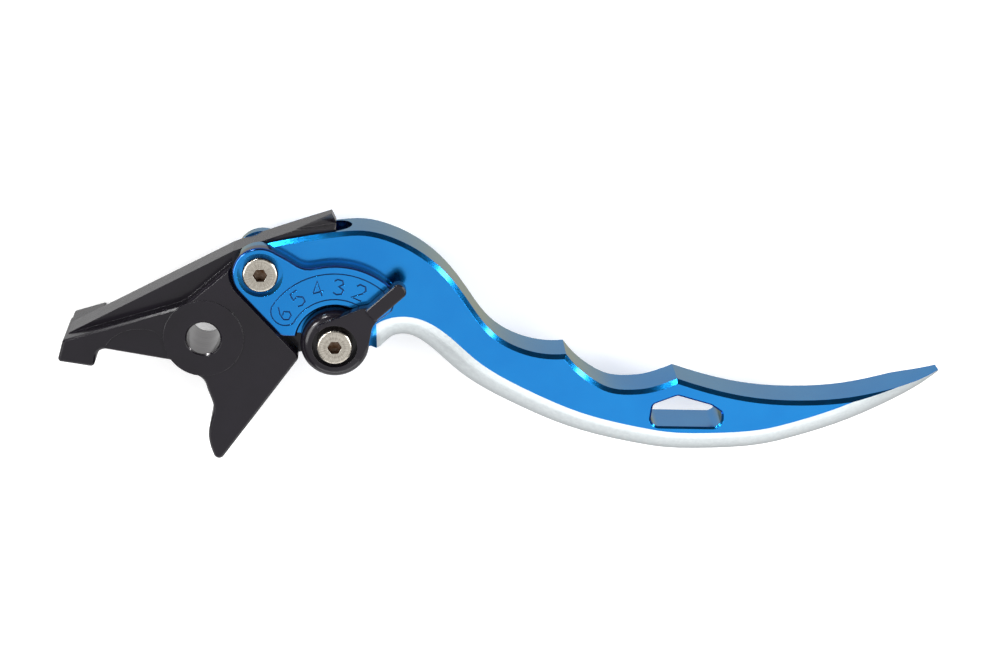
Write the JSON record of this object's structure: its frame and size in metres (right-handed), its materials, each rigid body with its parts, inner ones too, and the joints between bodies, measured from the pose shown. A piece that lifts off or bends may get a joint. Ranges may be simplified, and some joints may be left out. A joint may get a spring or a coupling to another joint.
{
  "type": "adjustable hand lever",
  "caption": "Curved blade hand lever for a motorcycle hydraulic perch, with a black pivot adapter, an angled reach adjuster worked by a numbered thumb lever, and a pointed tip.",
  "frame": {"origin": "middle of the perch pivot bore", "axes": "+Z along the perch pivot bore, up on the motorcycle; +X towards the blade's tip; +Y towards the front wheel, away from the handlebar"},
  "size_m": [0.2147, 0.0623, 0.0265],
  "materials": {
    "black_anodised": "satin black anodised",
    "blue_anodised": "bright blue anodised, machined bare along the bar side",
    "stainless": "turned stainless",
    "hardened_steel": "ground",
    "spring_steel": "drawn wire",
    "bronze": "sintered",
    "nylon": "moulded"
  },
  "bodies": {
    "mount": {"mount_adapter": "black_anodised", "tongue_bush": "bronze"},
    "lever": {"lever_blade": "blue_anodised", "pivot_screw": "stainless", "adjuster_screw": "stainless", "pivot_sleeve": "hardened_steel", "adjuster_sleeve": "hardened_steel", "pivot_nut": "stainless", "adjuster_nut": "stainless", "adjuster_washer": "nylon", "reach_spring": "spring_steel"},
    "adjuster": {"adjuster_lever": "black_anodised", "adjuster_cam": "hardened_steel"}
  },
  "joints": [
    {"name": "lever_reach", "type": "hinge", "parent": "mount", "child": "lever", "pos_m": [0.0141, 0.016, 0], "axis": [0, 0, 1], "range_deg": [0, 5.5], "deforming": ["reach_spring"]},
    {"name": "adjuster_turn", "type": "hinge", "parent": "lever", "child": "adjuster", "pos_m": [0.0312, -0.0014, 0], "axis": [0, 0, 1], "range_deg": [0, 104]}
  ],
  "couplings": [
    {"joint": "adjuster_turn", "follows": "lever_reach", "ratio": 18.909}
  ]
}
